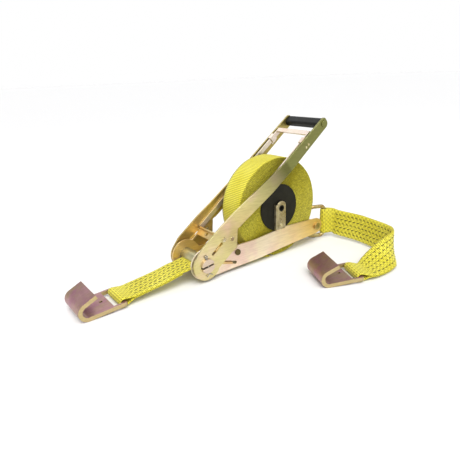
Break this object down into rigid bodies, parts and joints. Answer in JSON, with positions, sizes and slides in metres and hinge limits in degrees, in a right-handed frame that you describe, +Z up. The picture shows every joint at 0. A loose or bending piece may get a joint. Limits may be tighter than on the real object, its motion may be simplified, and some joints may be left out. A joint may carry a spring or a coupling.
{
  "type": "ratchet tie down",
  "caption": "Webbing tie down: ratchet frame and lever handle with a storage reel of wound webbing, a flat hook on the free end and another on a short fixed strap.",
  "frame": {"origin": "on the floor under the middle of the whole object as it lies at rest", "axes": "+X from the free hook along the frame to the ring at its rear, -Y to the side the fixed strap lies on, +Z up from the floor"},
  "size_m": [0.5344, 0.2536, 0.2392],
  "materials": {
    "frame_zinc": "yellow-passivated zinc plating, satin",
    "handle_zinc": "yellow-passivated zinc plating, satin",
    "pull_bar_zinc": "yellow-passivated zinc plating, satin",
    "pawl_zinc": "yellow-passivated zinc plating, satin",
    "mandrel_zinc": "yellow-passivated zinc plating, satin",
    "hook_zinc": "yellow-passivated zinc plating, satin",
    "ring_zinc": "yellow-passivated zinc plating, satin",
    "dark_steel": "blackened steel, satin",
    "spring_steel": "drawn spring wire",
    "black_plastic": "moulded black plastic",
    "webbing": "ribbed polyester webbing with rows of dark dashes"
  },
  "bodies": {
    "frame": {"frame_plate_right": "frame_zinc", "frame_plate_left": "frame_zinc", "frame_spacer_tube": "dark_steel", "lock_spring_rod": "frame_zinc", "reel_post_right": "frame_zinc", "reel_post_left": "frame_zinc", "post_rivets": "mandrel_zinc", "rear_bolt": "ring_zinc", "rear_nut": "ring_zinc", "ring_bush": "ring_zinc", "ring_sleeves": "frame_zinc", "free_strap_eye": "webbing", "free_strap": "webbing", "feed_run": "webbing", "lock_springs": "spring_steel"},
    "mandrel": {"mandrel_half_upper": "mandrel_zinc", "mandrel_half_lower": "mandrel_zinc", "ratchet_wheel_right": "mandrel_zinc", "ratchet_wheel_left": "mandrel_zinc", "mandrel_split_pins": "spring_steel", "webbing_in_mandrel": "webbing"},
    "lock_pawl": {"lock_pawl": "pawl_zinc"},
    "handle": {"handle_arm_right": "handle_zinc", "handle_arm_left": "handle_zinc", "arm_rivets": "handle_zinc", "guide_clips": "pull_bar_zinc", "clip_rivets": "pull_bar_zinc", "grip_sleeve": "black_plastic", "grip_rod": "handle_zinc", "drive_springs": "spring_steel"},
    "drive_pawl": {"drive_pawl": "pawl_zinc", "pull_bar": "pull_bar_zinc"},
    "reel": {"reel_hub": "black_plastic", "reel_flange_right": "black_plastic", "reel_flange_left": "black_plastic", "wound_webbing": "webbing"},
    "d_ring": {"d_ring": "ring_zinc"},
    "fixed_strap": {"ring_eye": "webbing", "fixed_strap": "webbing", "hook_eye": "webbing"},
    "hook_left": {"hook_left": "hook_zinc"},
    "hook_right": {"hook_right": "hook_zinc"}
  },
  "joints": [
    {"name": "handle_hinge", "type": "hinge", "parent": "frame", "child": "handle", "pos_m": [-0.05907, 0.07982, 0.0295], "axis": [0, -1, 0], "range_deg": [-30, 120]},
    {"name": "mandrel_spin", "type": "hinge", "parent": "frame", "child": "mandrel", "pos_m": [-0.05907, 0.07982, 0.0295], "axis": [0, -1, 0], "continuous": true},
    {"name": "reel_spin", "type": "hinge", "parent": "frame", "child": "reel", "pos_m": [0.10533, 0.07982, 0.0903], "axis": [0, 1, 0], "continuous": true},
    {"name": "lock_pawl_slide", "type": "slide", "parent": "frame", "child": "lock_pawl", "axis": [0.9636, 0, -0.2672], "range_m": [-0.003, 0.006], "deforming": ["lock_springs"]},
    {"name": "drive_pawl_slide", "type": "slide", "parent": "handle", "child": "drive_pawl", "axis": [0.782, 0, 0.6233], "range_m": [-0.003, 0.006], "deforming": ["drive_springs"]},
    {"name": "d_ring_hinge", "type": "hinge", "parent": "frame", "child": "d_ring", "pos_m": [0.19793, 0.07982, 0.0352], "axis": [0, -1, 0], "range_deg": [-25, 2]},
    {"name": "fixed_strap_swing", "type": "hinge", "parent": "d_ring", "child": "fixed_strap", "pos_m": [0.23668, 0.06495, 0.03395], "axis": [0, 0, 1], "range_deg": [-15, 75]},
    {"name": "left_hook_hinge", "type": "hinge", "parent": "frame", "child": "hook_left", "pos_m": [-0.19827, 0.07982, 0.0072], "axis": [0, 1, 0], "range_deg": [0, 90]},
    {"name": "right_hook_hinge", "type": "hinge", "parent": "fixed_strap", "child": "hook_right", "pos_m": [0.13613, -0.09228, 0.0072], "axis": [0.4195, 0.9078, 0], "range_deg": [0, 90]}
  ]
}
